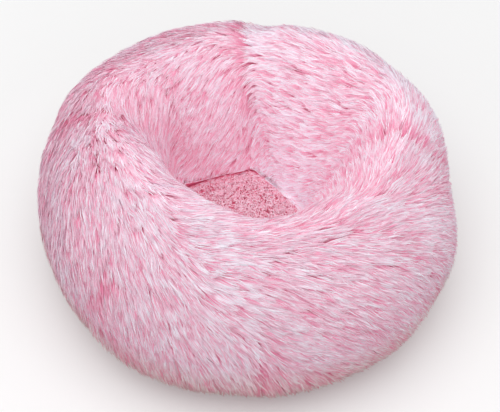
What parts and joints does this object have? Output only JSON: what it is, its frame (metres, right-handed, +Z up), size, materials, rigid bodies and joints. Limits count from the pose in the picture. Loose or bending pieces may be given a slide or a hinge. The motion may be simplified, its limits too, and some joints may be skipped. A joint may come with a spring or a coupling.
{
  "type": "pet bed",
  "caption": "Round pet bed: a stuffed long-pile fur bolster ring, sewn from crowned panels, round a sunken plush floor on a non-slip base cloth.",
  "frame": {"origin": "middle of the bed, on the surface that it stands on: the flat tips of the base cloth's grip dots", "axes": "+Z up through the nest, +Y away from the pictured front, +X to the right in the picture"},
  "size_m": [0.4946, 0.4996, 0.226],
  "materials": {
    "long_pile": "long-pile pink faux fur with pale tips",
    "plush": "shorter dense pink plush",
    "fibre": "white hollow-fibre stuffing",
    "grip_cloth": "woven cloth with moulded grip dots"
  },
  "bodies": {
    "root": {"bolster_fur_panel_1": "long_pile", "bolster_fur_panel_2": "long_pile", "bolster_fur_panel_3": "long_pile", "bolster_fur_panel_4": "long_pile", "bolster_fur_panel_5": "long_pile", "bolster_fur_panel_6": "long_pile", "bolster_filling": "fibre", "floor_fur": "plush", "floor_filling": "fibre", "base_cloth": "grip_cloth"}
  },
  "joints": []
}
